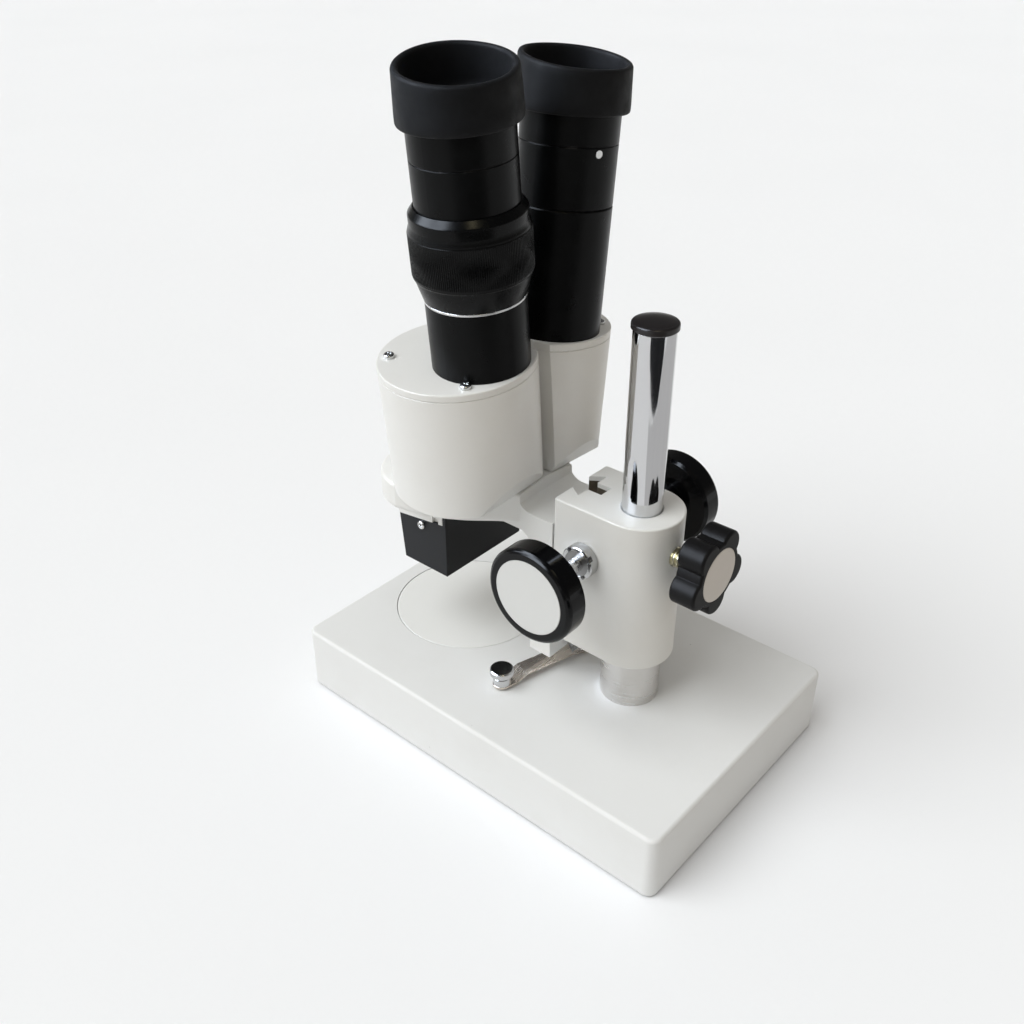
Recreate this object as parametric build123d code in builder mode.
from build123d import *
import math
import os

# Stereo microscope on a pillar stand.
# Frame: millimetres, +Z up, origin under the middle of the base, at the level of the table.
# +X is the user's right. The user sits on the -Y side and faces +Y, where the pillar is.
# Y values in the dimensions and sketches are counted from the pillar axis.
# Each piece is a function named after its STEP file; the list at the end writes them all.
os.makedirs("parts", exist_ok=True)

RIGHT, LEFT = 1, -1
SIDES = (RIGHT, LEFT)
run = 0.05              # radial clearance of a running fit

# ---------------------------------------------------------------- shared dimensions
# base
base_w = 129.2          # X
base_l = 194.4          # Y
base_cy = -38.8         # centre of the base in Y
base_top = 31.2
base_foot = 1.2         # gap between the casting rim and the table
base_wall = 4.0
base_inner_r = 2.0      # corner radius of the hollow and of the cover plate
pillar_y = -base_cy     # the pillar axis, in the frame
stage_y = -93.0
clip_x = 35.2           # stage clip pivots, either side
clip_y = -41.9
clip_pivot_r = 2.5
# pillar
pillar_r = 8.0
pillar_top = 196.2
pillar_bolt_r = 3.0
# focusing block
block_hw = 17.15        # half width, and radius of the round rear
block_front = -29.9
dove_mouth = 5.4        # half width of the dovetail groove at the block's front face
dove_base = 9.4         # half width at the bottom of the groove
dove_y = -24.0          # bottom of the groove
# clamp screw
clamp_z = 107.0
stud_r = 4.0
# pinion and its bushes
gear_module = 0.8
teeth = 11
pinion_y = -14.2
pinion_z = 100.8
pinion_pitch_r = gear_module * teeth / 2
shaft_r = 3.0
bore_r = 5.5


def at_z(z):
    """Level plane: local x along +X, local y along +Y from the pillar axis."""
    return Plane(origin=(0, pillar_y, z), x_dir=(1, 0, 0), z_dir=(0, 0, 1))


def at_x(x):
    """Side-view plane facing +X: local x along +Y from the pillar axis, local y up."""
    return Plane(origin=(x, pillar_y, 0), x_dir=(0, 1, 0), z_dir=(1, 0, 0))


def at_y(y, z=0.0):
    """Front-view plane facing -Y: local x along +X, local y up from z."""
    return Plane(origin=(0, pillar_y + y, z), x_dir=(1, 0, 0), z_dir=(0, -1, 0))


def upright_axis(x=0.0, y=0.0):
    return Axis((x, pillar_y + y, 0), (0, 0, 1))


# ---------------------------------------------------------------- base
cover_z = 2.2           # underside of the cover plate
cover_t = 1.0
cover_inset = 10.0      # cover screws, in from the sides of the base
cover_grid = (base_w - 2 * cover_inset, base_l - 2 * cover_inset, 2, 2)
cover_screw_r = 1.5
cover_screw_depth = 9.0
foot_grid = (90.0, 155.0, 2, 2)
clip_pivots = [(clip_x, clip_y), (-clip_x, clip_y)]


def base_casting():
    skin = 4.6
    ring_z = 21.0
    pillar_boss_z = 15.0
    clip_boss_z = 20.0
    overlap = 1.0       # rings and bosses stop this far below the top face
    rib_t = 3.0
    with BuildPart() as piece:
        with BuildSketch(at_z(base_foot)), Locations((0, base_cy)):
            RectangleRounded(base_w, base_l, 4.5)
        extrude(amount=base_top - base_foot)
        fillet(piece.faces().sort_by(Axis.Z)[-1].edges(), 1.6)
        with BuildSketch(at_z(base_foot)), Locations((0, base_cy)):
            RectangleRounded(base_w - 2 * base_wall, base_l - 2 * base_wall, base_inner_r)
        extrude(amount=base_top - skin - base_foot, mode=Mode.SUBTRACT)
        # ring under the stage opening, the recess for the stage plate and the hole below it
        with BuildSketch(at_z(ring_z)), Locations((0, stage_y)):
            Circle(39.0)
        extrude(amount=base_top - ring_z - overlap)
        for radius, depth in ((34.85, 4.0), (30.0, 12.0)):
            with BuildSketch(at_z(base_top)), Locations((0, stage_y)):
                Circle(radius)
            extrude(amount=-depth, mode=Mode.SUBTRACT)
        # boss that takes the pillar socket
        with BuildSketch(at_z(pillar_boss_z)):
            Circle(17.0)
        extrude(amount=base_top - pillar_boss_z - overlap)
        with BuildSketch(at_z(10.0)):
            Circle(10.0)
        extrude(amount=30.0, mode=Mode.SUBTRACT)
        # two bosses under the stage clips
        with BuildSketch(at_z(clip_boss_z)), Locations(*clip_pivots):
            Circle(6.0)
        extrude(amount=base_top - clip_boss_z - overlap)
        with BuildSketch(at_z(18.0)), Locations(*clip_pivots):
            Circle(clip_pivot_r + run)
        extrude(amount=20.0, mode=Mode.SUBTRACT)
        # corner bosses for the cover plate
        with BuildSketch(at_z(cover_z + cover_t)), Locations((0, base_cy)):
            with GridLocations(*cover_grid):
                Circle(5.5)
        extrude(amount=24.5)
        with BuildSketch(at_z(cover_z + cover_t)), Locations((0, base_cy)):
            with GridLocations(*cover_grid):
                Circle(cover_screw_r)
        extrude(amount=cover_screw_depth, mode=Mode.SUBTRACT)
        # stiffening ribs under the top
        with BuildSketch(at_z(18.0)):
            with Locations((0, -36.0), (0, 34.0)):
                Rectangle(rib_t, 38.0)
            with Locations((39.0, 0), (-39.0, 0)):
                Rectangle(46.0, rib_t)
        extrude(amount=9.0)
    return piece.part


def base_cover_plate():
    gap = 0.6
    inset = base_wall + gap
    with BuildPart() as piece:
        with BuildSketch(at_z(cover_z)):
            with Locations((0, base_cy)):
                RectangleRounded(base_w - 2 * inset, base_l - 2 * inset, base_inner_r)
                with GridLocations(*cover_grid):
                    Circle(1.7, mode=Mode.SUBTRACT)
            Circle(9.0, mode=Mode.SUBTRACT)
        extrude(amount=cover_t)
    return piece.part


def base_cover_screws():
    head_t = 1.2
    with BuildPart() as piece:
        for radius, length in ((2.8, head_t), (cover_screw_r, cover_screw_depth)):
            with BuildSketch(at_z(cover_z - head_t)), Locations((0, base_cy)):
                with GridLocations(*cover_grid):
                    Circle(radius)
            extrude(amount=length)
    return piece.part


def rubber_feet():
    with BuildPart() as piece:
        with BuildSketch(at_z(0)), Locations((0, base_cy)):
            with GridLocations(*foot_grid):
                Circle(7.0)
        extrude(amount=cover_z)
    return piece.part


def stage_plate():
    with BuildPart() as piece:
        with BuildSketch(at_z(base_top)), Locations((0, stage_y)):
            Circle(34.6)
        extrude(amount=-3.95)
        chamfer(piece.edges().filter_by(GeomType.CIRCLE), 0.3)
    return piece.part


# ---------------------------------------------------------------- pillar
def pillar_socket():
    with BuildPart() as piece:
        with BuildSketch(at_z(base_top)):
            Circle(12.5)
        extrude(amount=23.0)
        chamfer(piece.faces().sort_by(Axis.Z)[-1].edges(), 0.6)
        # spigot in the base, then the bores for the pillar and its bolt
        with BuildSketch(at_z(base_top)):
            Circle(10.0)
        extrude(amount=-15.2)
        with BuildSketch(at_z(20.0)):
            Circle(pillar_r + run)
        extrude(amount=40.0, mode=Mode.SUBTRACT)
        with BuildSketch(at_z(14.0)):
            Circle(3.3)
        extrude(amount=10.0, mode=Mode.SUBTRACT)
    return piece.part


cap_plug_r = 5.0


def pillar():
    foot = 20.1
    edge = 0.6
    mouth_z = pillar_top - 9.0
    with BuildPart() as piece:
        with BuildSketch(at_y(0)):
            with BuildLine():
                Polyline((0, foot), (pillar_r - edge, foot), (pillar_r, foot + edge),
                         (pillar_r, pillar_top), (cap_plug_r, pillar_top),
                         (cap_plug_r, mouth_z), (0, mouth_z), close=True)
            make_face()
        revolve(axis=upright_axis())
        with BuildSketch(at_z(20.0)):
            Circle(pillar_bolt_r)
        extrude(amount=14.0, mode=Mode.SUBTRACT)
    return piece.part


def pillar_cap():
    """Low dome over the pillar's rim, with a plug pressed into its mouth."""
    # (radius, height above the pillar's top)
    plug = [(0, -8.0), (4.4, -8.0), (cap_plug_r, -7.4), (cap_plug_r, 0), (8.2, 0),
            (8.75, 0.5), (8.75, 2.1)]
    edge_arc = [(8.75, 2.1), (8.45, 2.75), (7.8, 3.0)]
    dome_arc = [(7.8, 3.0), (4.1, 3.8741), (0.4, 4.1969)]
    centre = [(0.4, 4.1969), (0, 4.1969), (0, -8.0)]
    with BuildPart() as piece:
        with BuildSketch(at_y(0, pillar_top)):
            with BuildLine():
                Polyline(*plug)
                ThreePointArc(*edge_arc)
                ThreePointArc(*dome_arc)
                Polyline(*centre)
            make_face()
        revolve(axis=upright_axis())
    return piece.part


def pillar_bolt():
    head_top = 15.85
    with BuildPart() as piece:
        with BuildSketch(at_z(head_top)):
            RegularPolygon(5.6, 6)
        extrude(amount=-4.2)
        with BuildSketch(at_z(head_top)):
            Circle(pillar_bolt_r)
        extrude(amount=17.0)
    return piece.part


# ---------------------------------------------------------------- stage clips
clip_len = 48.0
clip_w = 8.0
clip_t = 0.8
clip_heading = {RIGHT: 166.3, LEFT: -95.0}      # degrees from +X
# underside of the strip (distance from the pivot, z): flat, rising, then a down-turned foot
clip_profile = [(-5.0, 32.3), (5.0, 32.3), (11.0, 34.6), (36.0, 33.4), (44.0, 31.6),
                (clip_len, 33.0)]
# shank, collar, neck and head of the thumb screw (radius, z)
clip_knob_profile = [(0, 19.0), (clip_pivot_r, 19.0), (clip_pivot_r, 33.15), (3.9, 33.15),
                     (3.9, 36.6), (3.6, 37.0), (3.6, 37.7), (4.7, 37.9), (5.05, 38.3),
                     (5.05, 40.5), (4.7, 40.9), (0, 40.9)]


def stage_clip(side):
    heading = math.radians(clip_heading[side])
    along = Vector(math.cos(heading), math.sin(heading), 0)
    across = Vector(-along.Y, along.X, 0)
    pivot = Vector(side * clip_x, pillar_y + clip_y, 0)
    edge_plane = Plane(origin=pivot - across * (clip_w / 2), x_dir=along,
                       z_dir=along.cross(Vector(0, 0, 1)))
    upper_face = [(x, z + clip_t) for x, z in reversed(clip_profile)]
    with BuildPart() as piece:
        with BuildSketch(edge_plane):
            with BuildLine():
                Polyline(*clip_profile, *upper_face, close=True)
            make_face()
        extrude(amount=-clip_w)
        # round both ends
        with BuildSketch(Plane(origin=pivot + Vector(0, 0, 30.0), x_dir=along, z_dir=(0, 0, 1))):
            with Locations((clip_len / 2, 0)):
                SlotOverall(clip_len + clip_w, clip_w)
        extrude(amount=8.0, mode=Mode.INTERSECT)
        with BuildSketch(at_z(30.0)), Locations((side * clip_x, clip_y)):
            Circle(clip_pivot_r)
        extrude(amount=6.0, mode=Mode.SUBTRACT)
    return piece.part


def clip_knob(side):
    pivot_x = side * clip_x
    with BuildPart() as piece:
        with BuildSketch(at_y(clip_y)):
            with BuildLine():
                Polyline(*[(pivot_x + r, z) for r, z in clip_knob_profile], close=True)
            make_face()
        revolve(axis=upright_axis(pivot_x, clip_y))
    return piece.part


# ---------------------------------------------------------------- focusing block
def focus_housing():
    foot = 55.0
    height = 67.6
    beyond = 1.0            # the groove's outline runs on past the front face
    mouth = dove_mouth - 0.68
    with BuildPart() as piece:
        with BuildSketch(at_z(foot)):
            Circle(block_hw)
            with Locations((0, block_front / 2)):
                Rectangle(2 * block_hw, -block_front)
        extrude(amount=height)
        fillet(piece.edges().filter_by(Axis.Z).sort_by(Axis.Y)[:2], 1.0)
        fillet(piece.faces().filter_by(Axis.Z).edges(), 0.7)
        with BuildSketch(at_z(foot)):
            Circle(pillar_r + run)
        extrude(amount=height, mode=Mode.SUBTRACT)
        chamfer(piece.edges().filter_by(GeomType.CIRCLE)
                .filter_by(lambda e: abs(e.radius - pillar_r - run) < 0.01), 0.5)
        # dovetail groove and the clearance groove for the rack, full height
        with BuildSketch(at_z(foot)):
            with BuildLine():
                Polyline((-mouth, block_front - beyond), (-dove_base, dove_y),
                         (dove_base, dove_y), (mouth, block_front - beyond), close=True)
            make_face()
            with Locations((0, -20.65)):
                Rectangle(6.8, 6.9)
        extrude(amount=height, mode=Mode.SUBTRACT)
        # cross bore for the pinion and its bushes
        with BuildSketch(at_x(-block_hw)), Locations((pinion_y, pinion_z)):
            Circle(bore_r)
        extrude(amount=2 * block_hw, mode=Mode.SUBTRACT)
        # clamp screw hole in the rear
        with BuildSketch(at_y(0)), Locations((0, clamp_z)):
            Circle(stud_r + run)
        extrude(amount=-20.0, mode=Mode.SUBTRACT)
    return piece.part


# ---------------------------------------------------------------- clamp screw
stud_front, stud_rear = 9.68, 30.0
star_front, star_rear = 25.3, 36.6
clamp_recess = 0.9      # depth of the recess for the disc


def clamp_pad():
    with BuildPart() as piece:
        with BuildSketch(at_y(8.03)), Locations((0, clamp_z)):
            Circle(stud_r)
        extrude(amount=-1.6)
    return piece.part


def clamp_stud():
    """Stud with ring ridges standing for its thread."""
    pitch = 1.75
    thread_end = 25.0
    core = clamp_z + 3.2
    crest = clamp_z + stud_r
    points = [(stud_front, clamp_z), (stud_front, core)]
    y = stud_front + 0.6
    while y < thread_end - pitch:
        points += [(y, core), (y + 0.35 * pitch, crest), (y + 0.65 * pitch, crest),
                   (y + 0.98 * pitch, core)]
        y += pitch
    points += [(y + 0.2, core), (stud_rear, core), (stud_rear, clamp_z)]
    with BuildPart() as piece:
        with BuildSketch(at_x(0)):
            with BuildLine():
                Polyline(*points, close=True)
            make_face()
        revolve(axis=Axis((0, pillar_y, clamp_z), (0, 1, 0)))
    return piece.part


def clamp_knob():
    """Five-lobed hand knob."""
    with BuildPart() as piece:
        with BuildSketch(at_y(star_front, clamp_z)):
            Circle(13.6)
            with PolarLocations(11.6, 5, start_angle=53.0):
                Circle(6.4)
        extrude(amount=-(star_rear - star_front))
        fillet(piece.faces().filter_by(Axis.Y).edges(), 1.2)
        with BuildSketch(at_y(star_rear, clamp_z)):
            Circle(11.2)
        extrude(amount=clamp_recess, mode=Mode.SUBTRACT)
        with BuildSketch(at_y(star_front, clamp_z)):
            Circle(3.2)
        extrude(amount=-(stud_rear - star_front), mode=Mode.SUBTRACT)
    return piece.part


def clamp_knob_disc():
    with BuildPart() as piece:
        with BuildSketch(at_y(star_rear - clamp_recess, clamp_z)):
            Circle(11.1)
        extrude(amount=-1.0)
        chamfer(piece.faces().sort_by(Axis.Y)[-1].edges(), 0.2)
    return piece.part


# ---------------------------------------------------------------- pinion, bushes, knobs
knob_r = 20.0
knob_out = 51.7         # outer face of a focusing knob, from the centre plane
knob_t = 10.7
knob_in = knob_out - knob_t
shaft_end = knob_out - 2.0
disc_r = 15.6           # light inlay of a focusing knob
disc_t = 0.9
grub_x = knob_in - 2.6
grub_r = 1.5


def involute_gear(pitch_r, count, tip_r, root_r, backlash, phase):
    """Outline of a spur gear, 20 degree pressure angle; one tooth centred on phase (radians)."""

    def involute(angle):
        return math.tan(angle) - angle

    pressure = math.radians(20)
    base_r = pitch_r * math.cos(pressure)
    start_r = max(base_r, root_r)
    half_tooth = math.pi / (2 * count) - backlash / (2 * pitch_r)
    flank = []              # (radius, angle from the tooth's middle), root to tip
    for i in range(7):
        r = start_r + (tip_r - start_r) * i / 6
        angle = math.acos(min(1.0, base_r / r))
        flank.append((r, half_tooth + involute(pressure) - involute(angle)))
    flank.insert(0, (root_r, flank[0][1]))
    points = []
    for k in range(count):
        middle = phase + 2 * math.pi * k / count
        tooth = [(r, middle - t) for r, t in flank]
        tooth += [(r, middle + t) for r, t in reversed(flank)]
        points += [(r * math.cos(t), r * math.sin(t)) for r, t in tooth]
    return points


def pinion_shaft():
    """Shaft that runs right through; its toothed length sits in the rack's groove."""
    tooth_hw = 3.2
    gear = involute_gear(pinion_pitch_r, teeth, tip_r=5.2, root_r=3.7, backlash=0.14,
                         phase=math.pi)
    with BuildPart() as piece:
        with BuildSketch(at_x(-shaft_end)), Locations((pinion_y, pinion_z)):
            Circle(shaft_r)
        extrude(amount=2 * shaft_end)
        with BuildSketch(at_x(-tooth_hw)):
            with BuildLine():
                Polyline(*[(pinion_y + y, pinion_z + z) for y, z in gear], close=True)
            make_face()
        extrude(amount=2 * tooth_hw)
    return piece.part


def pinion_bushes():
    with BuildPart() as piece:
        for side in SIDES:
            with BuildSketch(at_x(side * 3.7)), Locations((pinion_y, pinion_z)):
                Circle(bore_r - 0.02)
                Circle(shaft_r + run, mode=Mode.SUBTRACT)
            extrude(amount=side * 18.1)
    return piece.part


def tension_collars():
    """Collars on the housing's sides, with four spanner notches each."""
    length = 4.9
    radius = 7.25
    with BuildPart() as piece:
        for side in SIDES:
            with BuildSketch(at_x(side * block_hw)), Locations((pinion_y, pinion_z)):
                Circle(radius)
                Circle(bore_r, mode=Mode.SUBTRACT)
            extrude(amount=side * length)
            with BuildSketch(at_x(side * (block_hw + length))):
                with Locations((pinion_y, pinion_z)), Locations(Rotation(0, 0, 35)):
                    with PolarLocations(7.0, 4):
                        Rectangle(4.0, 2.2)
            extrude(amount=-side * 1.6, mode=Mode.SUBTRACT)
        chamfer(piece.edges().filter_by(GeomType.CIRCLE)
                .filter_by(lambda e: e.radius > radius - 0.05), 0.4)
    return piece.part


def focus_knob(side):
    hub_r = 8.6
    recess_r = disc_r + 0.15
    # (distance from the centre plane, radius)
    profile = [(knob_in - 5.2, 0), (knob_in - 5.2, hub_r - 0.6), (knob_in - 4.6, hub_r),
               (knob_in, hub_r), (knob_in, knob_r - 1.2), (knob_in + 1.2, knob_r),
               (knob_out - 1.9, knob_r), (knob_out - 1.2, knob_r - 0.25),
               (knob_out - 0.5, knob_r - 0.8), (knob_out, knob_r - 1.7), (knob_out, recess_r),
               (knob_out - disc_t, recess_r), (knob_out - disc_t, 0)]
    bore_start = knob_in - 6.0
    with BuildPart() as piece:
        with BuildSketch(at_y(pinion_y)):
            with BuildLine():
                Polyline(*[(side * x, pinion_z + r) for x, r in profile], close=True)
            make_face()
        revolve(axis=Axis((0, pillar_y + pinion_y, pinion_z), (1, 0, 0)))
        with BuildSketch(at_x(side * bore_start)), Locations((pinion_y, pinion_z)):
            Circle(shaft_r)
        extrude(amount=side * (shaft_end - bore_start), mode=Mode.SUBTRACT)
        with BuildSketch(at_z(pinion_z)), Locations((side * grub_x, pinion_y)):
            Circle(grub_r)
        extrude(amount=12.0, mode=Mode.SUBTRACT)
    return piece.part


def focus_knob_discs():
    with BuildPart() as piece:
        for side in SIDES:
            with BuildSketch(at_x(side * (knob_out - disc_t))), Locations((pinion_y, pinion_z)):
                Circle(disc_r)
            extrude(amount=side * disc_t)
    return piece.part


def knob_grub_screws():
    with BuildPart() as piece:
        for side in SIDES:
            with BuildSketch(at_z(pinion_z + shaft_r)), Locations((side * grub_x, pinion_y)):
                Circle(grub_r)
            extrude(amount=4.6)
    return piece.part


# ---------------------------------------------------------------- geometry of the optical heads
# Each prism housing ("pod") leans on its own optical axis. Heights along that axis are counted
# from the pod's top plane; places are (outward, rearward) from the centre of the pod.
tilt = math.radians(5.54)
cos_tilt, sin_tilt, tan_tilt = math.cos(tilt), math.sin(tilt), math.tan(tilt)
z_ref = 172.8           # height of the pods' top plane on the tube axis
tube_x = 21.64
tube_y = -63.16
pod_x = 23.84
pod_y = -74.07
pod_r = 31.4
pod_h = 56.0            # depth of a pod along its axis, lid included
pod_wall = 1.9
lid_t = 3.1
objective_y = stage_y
objective_x = (z_ref - base_top) * tan_tilt     # the optical axes meet at the stage
barrel_r = 5.0
wall_gap = 0.3          # inner wall's distance from the centre plane at either end of the swing
wall_turns = (4.4, -12.6)   # relief behind the swing axis and in front of it, degrees
plate_z = -28.2         # underside of the prism plate
plate_t = 1.2
lock_z = 71.3           # height of the left eyepiece's locking screw
lock_angle = 74
lock_r = 1.5

pod_centre = (0.0, 0.0)
tube_place = ((tube_x - pod_x) * cos_tilt, tube_y - pod_y)
objective_place = ((objective_x - pod_x) * cos_tilt, objective_y - pod_y)


def axis_dir(side):
    """Direction of the optical axis on one side."""
    return Vector(side * sin_tilt, 0, cos_tilt)


def square_to_axis(side, x, y):
    """Vector square to the optical axis: x towards +X, y towards +Y."""
    return Vector(x * cos_tilt, y, -x * side * sin_tilt)


def square_dir(side, degrees):
    angle = math.radians(degrees)
    return square_to_axis(side, math.cos(angle), math.sin(angle))


def pod_plane(side, height, place=pod_centre):
    """Plane square to the optical axis, local x towards +X and local y along +Y."""
    origin = Vector(side * pod_x, pillar_y + pod_y, z_ref) + axis_dir(side) * height
    origin = origin + square_to_axis(side, side * place[0], place[1])
    return Plane(origin=origin, x_dir=square_to_axis(side, 1, 0), z_dir=axis_dir(side))


def turned_plane(side, place):
    """Plane that holds the axis through a place: local x is the radius, local y the height."""
    return Plane(origin=pod_plane(side, 0, place).origin, x_dir=square_to_axis(side, 1, 0),
                 z_dir=Vector(0, -1, 0))


def turned_axis(side, place):
    return Axis(pod_plane(side, 0, place).origin, axis_dir(side))


def inner_wall(side, turn, inset=0.0):
    """Flat that bounds a pod towards its neighbour: the plane X = wall_gap, carried round the
    objective axis by turn degrees (positive opens the eyepieces apart). It faces into the pod."""
    axis = axis_dir(side)
    angle = math.radians(-side * turn)

    def carry(w):
        return (w * math.cos(angle) + axis.cross(w) * math.sin(angle)
                + axis * (axis.dot(w) * (1 - math.cos(angle))))

    normal = carry(Vector(side, 0, 0))
    origin = (Vector(side * objective_x, pillar_y + objective_y, z_ref)
              + carry(Vector(side * (wall_gap - objective_x), 0, 0)) + normal * inset)
    return Plane(origin=origin, x_dir=axis.cross(normal), z_dir=normal)


def bevel_wall(inset=0.0):
    """Bevel across the rear of a pod's foot, clear of the arm. It faces into the pod."""
    normal = Vector(0, -1.7, 1).normalized()
    return Plane(origin=Vector(0, pillar_y - 41.0, 130.3) + normal * inset, x_dir=(1, 0, 0),
                 z_dir=normal)


def edges_on(piece, plane):
    """Edges whose centre lies on a plane."""
    return piece.edges().filter_by(
        lambda e: abs((e.center() - plane.origin).dot(plane.z_dir)) < 0.01)


def turned_part(side, place, profile):
    """Solid of revolution about an optical axis, from a closed (radius, height) outline."""
    with BuildPart() as piece:
        with BuildSketch(turned_plane(side, place)):
            with BuildLine():
                Polyline(*profile, close=True)
            make_face()
        revolve(axis=turned_axis(side, place))
    return piece.part


def half_sag(radius, sag):
    """Sag at half radius of a dome, measured down from its apex."""
    sphere_r = (radius * radius + sag * sag) / (2 * sag)
    return sphere_r - math.sqrt(sphere_r * sphere_r - radius * radius / 4)


def lens_set(side, place, radius, lenses):
    """Biconvex lenses, each given as (foot, top, sag of the foot, sag of the top)."""
    with BuildPart() as piece:
        for foot, top, foot_sag, top_sag in lenses:
            with BuildSketch(turned_plane(side, place)):
                with BuildLine():
                    Line((0, foot), (0, top))
                    ThreePointArc((0, top), (radius / 2, top - half_sag(radius, top_sag)),
                                  (radius, top - top_sag))
                    Line((radius, top - top_sag), (radius, foot + foot_sag))
                    ThreePointArc((radius, foot + foot_sag),
                                  (radius / 2, foot + half_sag(radius, foot_sag)), (0, foot))
                make_face()
            revolve(axis=turned_axis(side, place))
    return piece.part


# ---------------------------------------------------------------- head: arm, dovetail slide, rack
arm_hw = 17.0
arm_rear = -30.4
arm_top = 110.0
slide_front = -41.5
slide_z0 = 41.5
slide_screws_at = [(0, 52.0), (0, 86.0)]
slide_head_depth = 3.4
slide_screw_r = 1.5
male_y = dove_y - 0.1   # rear face of the male dovetail
neck_hw = 24.7
shroud_hw = 24.6
shroud_inner_hw = 23.0
shroud_screw_at = (-97.5, 85.4)     # (y, z)
shroud_screw_r = 1.0


def head_arm():
    flange_front = -115.0
    flange_rear = -47.5
    flange_edge = [(41.9, -95.0), (37.0, -79.0), (30.5, -66.5), (22.0, -55.8),
                   (arm_hw, flange_rear)]       # (x, y), right side from front to rear
    seat_hw = 60.0
    seat_z = z_ref - pod_h * cos_tilt - 0.3 + (pod_x - pod_h * sin_tilt) * tan_tilt
    seat_edge_z = seat_z - seat_hw * tan_tilt
    clear_z = 140.0
    fillet_limit = pillar_y - 48.0      # only edges in front of this are rounded
    with BuildPart() as piece:
        # flange under the prism housings
        with BuildSketch(at_z(102.0)):
            with BuildLine():
                Line((0, flange_front), (22.0, flange_front))
                RadiusArc((22.0, flange_front), flange_edge[0], -20.0)
                Spline(*flange_edge)
                Line((arm_hw, flange_rear), (0, flange_rear))
                Line((0, flange_rear), (0, flange_front))
            make_face()
            mirror(about=Plane.YZ)
        extrude(amount=20.0)
        # roof-shaped seat, square to the two optical axes
        with BuildSketch(at_y(-40.0)):
            with BuildLine():
                Polyline((0, seat_z), (seat_hw, seat_edge_z), (seat_hw, clear_z),
                         (-seat_hw, clear_z), (-seat_hw, seat_edge_z), close=True)
            make_face()
        extrude(amount=90.0, mode=Mode.SUBTRACT)
        fillet(piece.faces().sort_by(Axis.Z)[0].edges()
               .filter_by(lambda e: e.center().Y < fillet_limit), 3.0)
        fillet(piece.faces().filter_by(lambda f: f.normal_at().Z > 0.9).edges()
               .filter_by(lambda e: e.center().Y < fillet_limit and abs(e.center().X) > 1.0), 1.5)
        # slide plate and arm web, in side view
        with BuildSketch(at_x(-arm_hw)):
            with BuildLine():
                Polyline((arm_rear, slide_z0), (arm_rear, arm_top), (-42.0, arm_top))
                ThreePointArc((-42.0, arm_top), (-46.6, 111.9), (-49.0, 116.3))
                Polyline((-49.0, 116.3), (-60.0, 116.3), (-60.0, 100.5), (-48.0, 100.5))
                ThreePointArc((-48.0, 100.5), (-43.4, 98.6), (slide_front, 94.0))
                Polyline((slide_front, 94.0), (slide_front, slide_z0), (arm_rear, slide_z0))
            make_face()
        extrude(amount=2 * arm_hw)
        # neck that carries the shroud; its lower face falls towards the front
        with BuildSketch(at_x(-neck_hw)):
            with BuildLine():
                Polyline((-85.0, 103.0), (-85.0, 89.9), (-111.6, 86.2), (-113.2, 94.0),
                         (-113.6, 103.0), close=True)
            make_face()
        extrude(amount=2 * neck_hw)
        for side in SIDES:
            # lug inside the shroud, drilled for its screw
            with BuildSketch(at_x(side * 18.0)), Locations((shroud_screw_at[0], 86.5)):
                Rectangle(8.0, 10.0)
            extrude(amount=side * 4.9)
            with BuildSketch(at_x(side * 17.0)), Locations(shroud_screw_at):
                Circle(shroud_screw_r)
            extrude(amount=side * 8.0, mode=Mode.SUBTRACT)
            # hook slot near the neck's rear corner
            with BuildSketch(at_x(side * 23.2)), Locations((-89.2, 89.0)):
                Rectangle(3.6, 6.4)
            extrude(amount=side * 3.0, mode=Mode.SUBTRACT)
            # bore for the objective barrel
            with BuildSketch(pod_plane(side, -50.0, objective_place)):
                Circle(barrel_r)
            extrude(amount=-60.0, mode=Mode.SUBTRACT)
        # counterbored holes for the slide screws
        for radius, depth in ((3.0, slide_head_depth), (1.6, 12.0)):
            with BuildSketch(at_y(slide_front)), Locations(*slide_screws_at):
                Circle(radius)
            extrude(amount=-depth, mode=Mode.SUBTRACT)
    return piece.part


def dovetail_slide():
    """Male dovetail, a running fit in the groove."""
    mouth = dove_mouth - 0.07
    slope = (dove_base - dove_mouth) / (dove_y - block_front)
    front_hw = mouth + (arm_rear - block_front) * slope
    rear_hw = mouth + (male_y - block_front) * slope
    with BuildPart() as piece:
        with BuildSketch(at_z(43.0)):
            with BuildLine():
                Polyline((-front_hw, arm_rear), (-rear_hw, male_y), (rear_hw, male_y),
                         (front_hw, arm_rear), close=True)
            make_face()
        extrude(amount=66.5)
        with BuildSketch(at_y(arm_rear)), Locations(*slide_screws_at):
            Circle(slide_screw_r)
        extrude(amount=-4.6, mode=Mode.SUBTRACT)
    return piece.part


def rack():
    """Rack with stub teeth, a space centred on the pinion at rest."""
    half_w = 2.8
    foot, top = 43.6, 109.0
    pitch = math.pi * gear_module
    addendum, dedendum = 0.5, 1.0
    pitch_y = pinion_y - pinion_pitch_r
    tip_y, root_y = pitch_y + addendum, pitch_y - dedendum
    half_tooth = pitch / 4 - 0.05       # at the pitch line
    flank_slope = math.tan(math.radians(20))
    half_root = half_tooth + dedendum * flank_slope
    half_tip = half_tooth - addendum * flank_slope
    points = [(male_y, foot), (root_y, foot)]
    for k in range(-22, 3):
        z = pinion_z + (k - 0.5) * pitch
        points += [(root_y, z - half_root), (tip_y, z - half_tip),
                   (tip_y, z + half_tip), (root_y, z + half_root)]
    points += [(root_y, top), (male_y, top)]
    with BuildPart() as piece:
        with BuildSketch(at_x(-half_w)):
            with BuildLine():
                Polyline(*points, close=True)
            make_face()
        extrude(amount=2 * half_w)
    return piece.part


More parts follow.
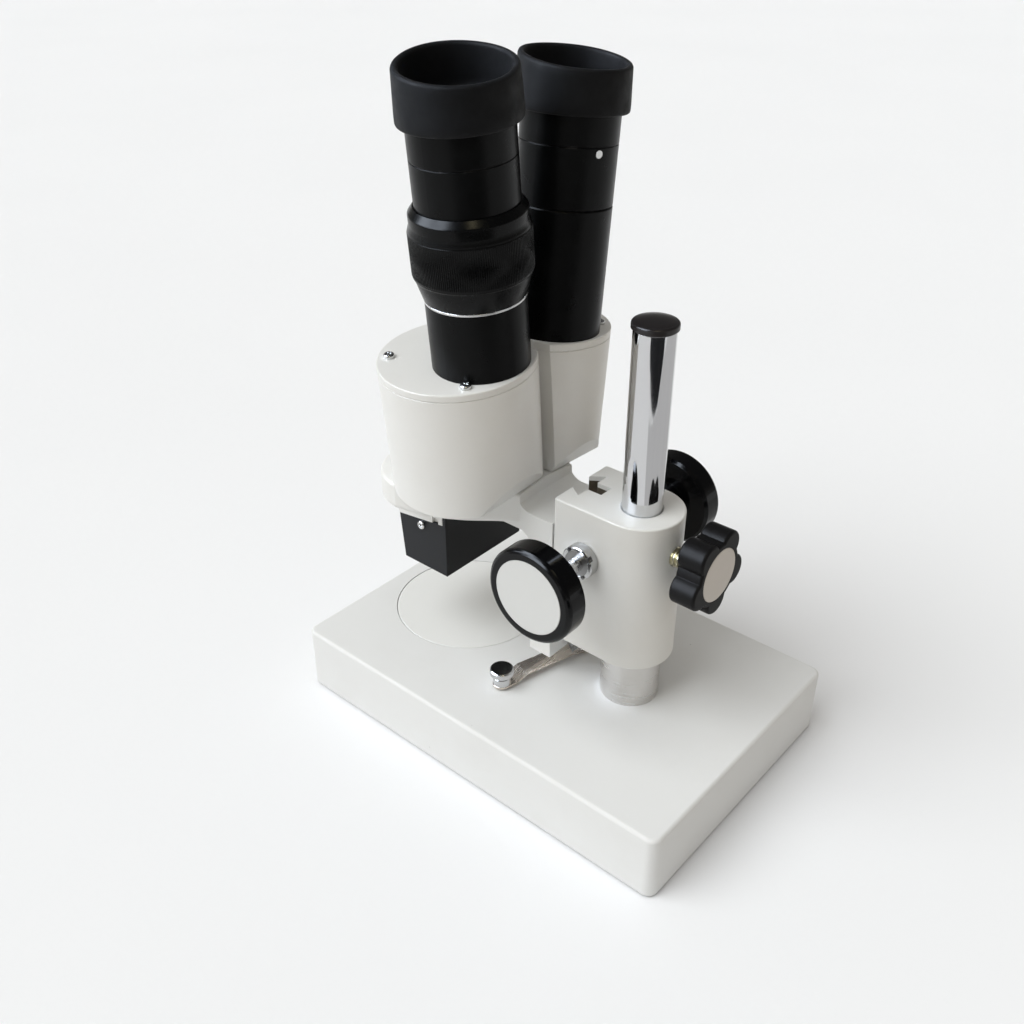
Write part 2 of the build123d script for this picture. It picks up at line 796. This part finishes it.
def slide_screws():
    seat = at_y(slide_front + slide_head_depth)
    head_r = 2.75
    with BuildPart() as piece:
        # head with a hexagon socket, the floor of the socket, then the shank
        with BuildSketch(seat), Locations(*slide_screws_at):
            Circle(head_r)
            RegularPolygon(1.45, 6, mode=Mode.SUBTRACT)
        extrude(amount=3.0)
        with BuildSketch(seat), Locations(*slide_screws_at):
            Circle(head_r)
        extrude(amount=1.2)
        with BuildSketch(seat), Locations(*slide_screws_at):
            Circle(slide_screw_r)
        extrude(amount=-12.0)
    return piece.part


# ---------------------------------------------------------------- objective shroud
def objective_shroud():
    # side views, (y, z)
    outside = [(-83.2, 63.8), (-83.2, 101.9), (-84.9, 101.9), (-84.9, 89.8), (-111.5, 86.1),
               (-109.2, 63.8)]
    inside = [(-84.9, 60.0), (-84.9, 96.0), (-110.7, 96.0), (-107.2, 60.0)]
    with BuildPart() as piece:
        with BuildSketch(at_x(-shroud_hw)):
            with BuildLine():
                Polyline(*outside, close=True)
            make_face()
        extrude(amount=2 * shroud_hw)
        with BuildSketch(at_x(-shroud_inner_hw)):
            with BuildLine():
                Polyline(*inside, close=True)
            make_face()
        extrude(amount=2 * shroud_inner_hw, mode=Mode.SUBTRACT)
        with BuildSketch(at_x(-25.0)), Locations(shroud_screw_at):
            Circle(1.2)
        extrude(amount=50.0, mode=Mode.SUBTRACT)
    return piece.part


def shroud_screws():
    head_t = 1.3
    slot_l, slot_w = 2.2, 0.5
    with BuildPart() as piece:
        for side in SIDES:
            with BuildSketch(at_x(side * shroud_hw)), Locations(shroud_screw_at):
                Circle(2.0)
            extrude(amount=side * head_t)
        fillet(piece.edges().filter_by(lambda e: abs(e.center().X) > 25.5), 0.6)
        for side in SIDES:
            with BuildSketch(at_x(side * (shroud_hw + head_t))), Locations(shroud_screw_at):
                Rectangle(slot_l, slot_w)
                Rectangle(slot_w, slot_l)
            extrude(amount=-side * 0.7, mode=Mode.SUBTRACT)
        for side in SIDES:
            with BuildSketch(at_x(side * shroud_hw)), Locations(shroud_screw_at):
                Circle(shroud_screw_r)
            extrude(amount=-side * 6.0)
    return piece.part


# ---------------------------------------------------------------- prism housings
lid_screw_circle = 26.5
lid_screw_angles = (50.0, -52.0)    # degrees, from outward towards the rear
lid_screw_r = 1.2
tube_spigot_r = 17.5


def lid_screw_places(side):
    return [(side * lid_screw_circle * math.cos(math.radians(a)),
             lid_screw_circle * math.sin(math.radians(a))) for a in lid_screw_angles]


def pod_cavity(side):
    """Room for the prisms, cut by the same flats as the outside, one wall further in."""
    above = 1.0
    floor_t = 4.0
    with BuildPart() as piece:
        with BuildSketch(pod_plane(side, above)):
            Circle(pod_r - pod_wall)
        extrude(amount=-(pod_h - floor_t + above))
        for turn in wall_turns:
            split(bisect_by=inner_wall(side, turn, pod_wall), keep=Keep.TOP)
        split(bisect_by=bevel_wall(pod_wall), keep=Keep.TOP)
    return piece.part


def prism_housing(side):
    cavity = pod_cavity(side)
    with BuildPart() as piece:
        with BuildSketch(pod_plane(side, -lid_t)):
            Circle(pod_r)
        extrude(amount=-(pod_h - lid_t))
        chamfer(piece.edges().filter_by(GeomType.CIRCLE).sort_by(Axis.Z)[-1], 0.3)
        for turn in wall_turns:
            split(bisect_by=inner_wall(side, turn), keep=Keep.TOP)
        split(bisect_by=bevel_wall(), keep=Keep.TOP)
        add(cavity, mode=Mode.SUBTRACT)
        # bosses for the lid screws
        with BuildSketch(pod_plane(side, -lid_t)), Locations(*lid_screw_places(side)):
            Circle(3.2)
        extrude(amount=-(27.0 - lid_t))
        with BuildSketch(pod_plane(side, -lid_t)), Locations(*lid_screw_places(side)):
            Circle(lid_screw_r)
        extrude(amount=-9.0, mode=Mode.SUBTRACT)
        # bore that turns on the objective barrel
        with BuildSketch(pod_plane(side, -45.0, objective_place)):
            Circle(barrel_r + run)
        extrude(amount=-20.0, mode=Mode.SUBTRACT)
    return piece.part


def prism_lid(side):
    with BuildPart() as piece:
        with BuildSketch(pod_plane(side, -lid_t)):
            Circle(pod_r)
        extrude(amount=lid_t)
        chamfer(piece.edges().filter_by(GeomType.CIRCLE).sort_by(Axis.Z)[0], 0.3)
        for turn in wall_turns:
            split(bisect_by=inner_wall(side, turn), keep=Keep.TOP)
        fillet(edges_on(piece, pod_plane(side, 0)), 0.6)
        with BuildSketch(pod_plane(side, -lid_t, tube_place)):
            Circle(tube_spigot_r)
        extrude(amount=lid_t, mode=Mode.SUBTRACT)
        with BuildSketch(pod_plane(side, -lid_t)), Locations(*lid_screw_places(side)):
            Circle(1.35)
        extrude(amount=lid_t, mode=Mode.SUBTRACT)
    return piece.part


def lid_screws(side):
    head_t = 1.7
    slot_l, slot_w = 2.4, 0.55
    places = lid_screw_places(side)
    with BuildPart() as piece:
        with BuildSketch(pod_plane(side, 0)), Locations(*places):
            Circle(2.2)
        extrude(amount=head_t)
        fillet(edges_on(piece, pod_plane(side, head_t)), 0.8)
        with BuildSketch(pod_plane(side, head_t)), Locations(*places):
            Rectangle(slot_l, slot_w)
            Rectangle(slot_w, slot_l)
        extrude(amount=-0.9, mode=Mode.SUBTRACT)
        with BuildSketch(pod_plane(side, 0)), Locations(*places):
            Circle(lid_screw_r)
        extrude(amount=-9.0)
    return piece.part


# The beam steps sideways twice, square to itself, from the objective to the tube.
beam_out = tube_place[0] - objective_place[0]
beam_rear = tube_place[1] - objective_place[1]
beam_angle = math.degrees(math.atan2(beam_rear, beam_out))
beam_step = math.hypot(beam_out, beam_rear) / math.sqrt(2)


def unit(degrees):
    return (math.cos(math.radians(degrees)), math.sin(math.radians(degrees)))


def midpoint(a, b):
    return ((a[0] + b[0]) / 2, (a[1] + b[1]) / 2)


upper_dir = unit(beam_angle - 45.0)
lower_dir = unit(beam_angle + 45.0)
corner_place = (objective_place[0] + beam_step * upper_dir[0],
                objective_place[1] + beam_step * upper_dir[1])


def prism_plate(side):
    """Plate that carries the two right-angle prisms, with three beam holes."""
    inset = pod_wall + 0.3
    holes = [(side * out, rear) for out, rear in (objective_place, corner_place, tube_place)]
    with BuildPart() as piece:
        with BuildSketch(pod_plane(side, plate_z)):
            Circle(pod_r - inset)
            with Locations(*holes):
                Circle(4.4, mode=Mode.SUBTRACT)
        extrude(amount=plate_t)
        for turn in wall_turns:
            split(bisect_by=inner_wall(side, turn, inset), keep=Keep.TOP)
    return piece.part


def prisms(side):
    """Two prisms with flattened corners, one above the plate and one below it."""
    half_l, edge_h, flat_hw, height = 15.3, 6.4, 0.8, 20.8
    # (place, direction, height of the face on the plate, +1 pointing up or -1 down)
    stations = [
        (midpoint(objective_place, corner_place), upper_dir, plate_z + plate_t, 1),
        (midpoint(tube_place, corner_place), lower_dir, plate_z, -1),
    ]
    with BuildPart() as piece:
        for place, (out, rear), face_z, up in stations:
            along = square_to_axis(side, side * out, rear)
            with BuildSketch(Plane(origin=pod_plane(side, face_z, place).origin, x_dir=along,
                                   z_dir=along.cross(axis_dir(side)))):
                with BuildLine():
                    Polyline((-half_l, 0), (half_l, 0), (half_l, up * edge_h),
                             (flat_hw, up * height), (-flat_hw, up * height),
                             (-half_l, up * edge_h), close=True)
                make_face()
            extrude(amount=4.4, both=True)
    return piece.part


# ---------------------------------------------------------------- objectives
objective_lens_r = 4.0


def objective_barrel(side):
    foot, top = -87.9, -49.6
    return turned_part(side, objective_place, [
        (objective_lens_r, foot), (barrel_r - 0.5, foot), (barrel_r, foot + 0.5),
        (barrel_r, top), (objective_lens_r, top)])


def objective_lens(side):
    return lens_set(side, objective_place, objective_lens_r,
                    [(-87.0, -84.6, 0.7, 0.7), (-66.0, -63.6, 0.6, 0.6)])


def pivot_ring(side):
    with BuildPart() as piece:
        with BuildSketch(pod_plane(side, -51.93, objective_place)):
            Circle(6.15)
            Circle(barrel_r, mode=Mode.SUBTRACT)
        extrude(amount=2.0)
    return piece.part


# ---------------------------------------------------------------- eyepieces
tube_r = 19.05
neck_r = 17.6           # neck of the right tube, which carries the dioptre ring
neck_z = 27.4
sleeve_r = 16.0
eyepiece_r = 19.0
eye_lens_r = 13.5
sleeve_foot = {RIGHT: 10.0, LEFT: 16.0}
shoulder = {RIGHT: 45.0, LEFT: 50.65}
eyepiece_top = {RIGHT: 94.8, LEFT: 89.2}
cup_foot = {RIGHT: 90.8, LEFT: 84.6}
# slanted rim of the eyecup: height on the axis, rise at radius 21, azimuth of the high side
cup_rim = {RIGHT: (108.9, 2.3, -116.0), LEFT: (102.9, 2.5, -112.0)}


def eyepiece_tube(side):
    foot = [(tube_spigot_r, -lid_t), (tube_spigot_r, 0), (tube_r, 0)]
    if side == RIGHT:
        profile = [(16.06, -lid_t), *foot, (tube_r, neck_z), (neck_r, neck_z), (neck_r, 41.0),
                   (16.06, 41.0)]
    else:
        top = shoulder[LEFT]
        profile = [(sleeve_r, -lid_t), *foot, (tube_r, 50.1), (18.6, top), (sleeve_r, top)]
    return turned_part(side, tube_place, profile)


def eyepiece_body(side):
    """Sleeve below, barrel above, with a fine groove round the barrel."""
    foot, step, top = sleeve_foot[side], shoulder[side], eyepiece_top[side]
    groove = top - 16.0
    groove_r = eyepiece_r - 0.25
    with BuildPart() as piece:
        with BuildSketch(turned_plane(side, tube_place)):
            with BuildLine():
                Polyline((12.0, foot), (sleeve_r, foot), (sleeve_r, step), (18.6, step),
                         (eyepiece_r, step + 0.4), (eyepiece_r, groove),
                         (groove_r, groove + 0.15), (groove_r, groove + 0.45),
                         (eyepiece_r, groove + 0.6), (eyepiece_r, top - 0.5),
                         (eyepiece_r - 0.5, top), (12.5, top), (12.5, top - 2.0),
                         (eye_lens_r, top - 2.0), (eye_lens_r, foot + 1.5),
                         (12.0, foot + 1.5), close=True)
            make_face()
        revolve(axis=turned_axis(side, tube_place))
        if side == LEFT:
            # hole for the locking screw
            with BuildSketch(Plane(origin=pod_plane(side, lock_z, tube_place).origin,
                                   z_dir=square_dir(side, lock_angle))):
                Circle(lock_r)
            extrude(amount=25.0, mode=Mode.SUBTRACT)
    return piece.part


def eyepiece_lenses(side):
    foot, top = sleeve_foot[side], eyepiece_top[side]
    return lens_set(side, tube_place, eye_lens_r,
                    [(foot + 1.5, foot + 6.5, 0.6, 1.8), (top - 8.5, top - 2.0, 2.2, 1.2)])


def eyecup(side):
    """Rubber cup that grips the barrel's top, its rim cut on a slant."""
    foot, seat = cup_foot[side], eyepiece_top[side]
    rim_height, rim_rise, rim_azimuth = cup_rim[side]
    grip_r = eyepiece_r + run
    with BuildPart() as piece:
        with BuildSketch(turned_plane(side, tube_place)):
            with BuildLine():
                Polyline((grip_r, foot), (21.3, foot), (21.9, foot + 0.7), (21.95, foot + 3.0),
                         (20.85, foot + 26.0), (18.2, foot + 26.0), (18.6, seat + 1.6),
                         (15.0, seat + 1.6), (15.0, seat + run), (grip_r, seat + run),
                         close=True)
            make_face()
        revolve(axis=turned_axis(side, tube_place))
        rim_normal = axis_dir(side) - square_dir(side, rim_azimuth) * (rim_rise / 21.0)
        with BuildSketch(Plane(origin=pod_plane(side, rim_height, tube_place).origin,
                               z_dir=rim_normal)):
            Circle(40.0)
        extrude(amount=30.0, mode=Mode.SUBTRACT)
    return piece.part


# dioptre adjustment, right eyepiece
def diopter_index_ring():
    foot, top = neck_z + 0.05, neck_z + 0.85
    return turned_part(RIGHT, tube_place, [(neck_r, foot), (19.25, foot), (19.25, top),
                                           (neck_r, top)])


def diopter_ring():
    bore, upper_bore = neck_r + 0.05, 19.1
    return turned_part(RIGHT, tube_place, [
        (bore, 28.35), (19.1, 28.35), (19.5, 29.2), (21.5, 36.2), (21.6, 37.0), (22.2, 37.6),
        (22.2, 38.2), (22.4, 38.4), (22.4, 53.6), (22.2, 53.8), (22.2, 54.3), (21.5, 56.5),
        (21.5, 60.2), (21.2, 60.7), (19.5, 62.9), (upper_bore, 62.9), (upper_bore, 42.0),
        (bore, 42.0)])


def eyepiece_lock_screw():
    """Locking screw of the left eyepiece."""
    direction = square_dir(LEFT, lock_angle)
    origin = pod_plane(LEFT, lock_z, tube_place).origin + direction * 14.0
    with BuildPart() as piece:
        with BuildSketch(Plane(origin=origin, z_dir=direction)):
            Circle(lock_r)
        extrude(amount=5.3)
    return piece.part


# ---------------------------------------------------------------- output
single_pieces = (
    base_casting, base_cover_plate, base_cover_screws, rubber_feet, stage_plate,
    pillar_socket, pillar, pillar_cap, pillar_bolt,
    focus_housing, clamp_pad, clamp_stud, clamp_knob, clamp_knob_disc,
    pinion_shaft, pinion_bushes, tension_collars, focus_knob_discs, knob_grub_screws,
    head_arm, dovetail_slide, rack, slide_screws, objective_shroud, shroud_screws,
    diopter_index_ring, diopter_ring, eyepiece_lock_screw,
)
paired_pieces = (
    stage_clip, clip_knob, focus_knob,
    prism_housing, prism_lid, lid_screws, prism_plate, prisms,
    objective_barrel, objective_lens, pivot_ring,
    eyepiece_tube, eyepiece_body, eyepiece_lenses, eyecup,
)


def save(part, name):
    part.label = name
    export_step(part, f"parts/{name}.step")


for make in single_pieces:
    save(make(), make.__name__)
for make in paired_pieces:
    save(make(RIGHT), f"{make.__name__}_right")
    save(make(LEFT), f"{make.__name__}_left")
